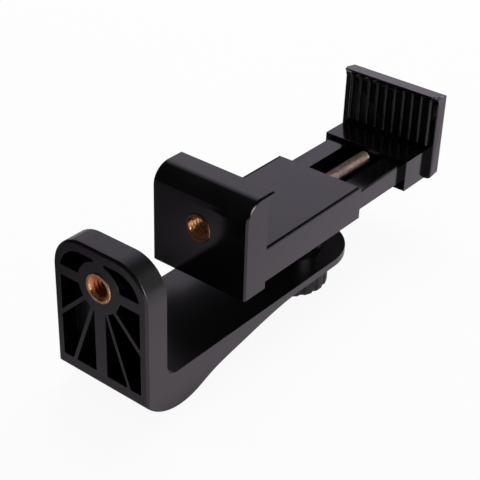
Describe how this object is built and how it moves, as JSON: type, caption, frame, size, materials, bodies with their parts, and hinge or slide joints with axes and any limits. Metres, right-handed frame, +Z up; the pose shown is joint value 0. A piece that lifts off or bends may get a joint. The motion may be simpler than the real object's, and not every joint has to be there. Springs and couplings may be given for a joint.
{
  "type": "tripod phone mount",
  "caption": "Spring-loaded phone clamp that swivels on an L-shaped tripod bracket, with ribbed jaws and a thumb knob.",
  "frame": {"origin": "start of the tripod thread in the bracket's upright, on the front face of its boss", "axes": "+X from the upright along the arm and the slide to the moving jaw, +Y across, +Z up away from the arm"},
  "size_m": [0.1353, 0.0342, 0.0499],
  "materials": {
    "black_moulding": "smooth black ABS with a soft gloss",
    "black_knob": "satin black ABS",
    "black_rubber": "matt moulded rubber",
    "brass": "turned and bright",
    "spring_wire": "copper-coated spring wire",
    "steel": "zinc-plated"
  },
  "bodies": {
    "bracket": {"bracket": "black_moulding", "bracket_insert": "brass", "friction_washer": "black_rubber"},
    "clamp": {"clamp_body": "black_moulding", "jaw_insert": "brass", "swivel_insert": "brass", "top_cover": "black_moulding", "fixed_pad": "black_rubber", "body_spring_pin": "steel", "travel_stop_pin": "steel", "tension_spring": "spring_wire"},
    "jaw": {"sliding_jaw": "black_moulding", "moving_pad": "black_rubber", "jaw_spring_pin": "steel"},
    "knob_seat": {"knob_washer": "steel"},
    "knob": {"knob": "black_knob", "knob_screw": "steel"}
  },
  "joints": [
    {"name": "clamp_swivel", "type": "hinge", "parent": "bracket", "child": "clamp", "pos_m": [0.0804, 0, -0.0229], "axis": [0, 0, 1], "continuous": true},
    {"name": "jaw_slide", "type": "slide", "parent": "clamp", "child": "jaw", "axis": [1, 0, 0], "range_m": [-0.0244, 0.006], "deforming": ["tension_spring"]},
    {"name": "knob_feed", "type": "slide", "parent": "clamp", "child": "knob_seat", "axis": [0, 0, -1], "range_m": [0, 0.00255]},
    {"name": "knob_turn", "type": "hinge", "parent": "knob_seat", "child": "knob", "pos_m": [0.0804, 0, -0.0268], "axis": [0, 0, -1], "range_deg": [0, 720]}
  ],
  "couplings": [
    {"joint": "knob_feed", "follows": "knob_turn", "m_per_rad": 0.00020213}
  ]
}
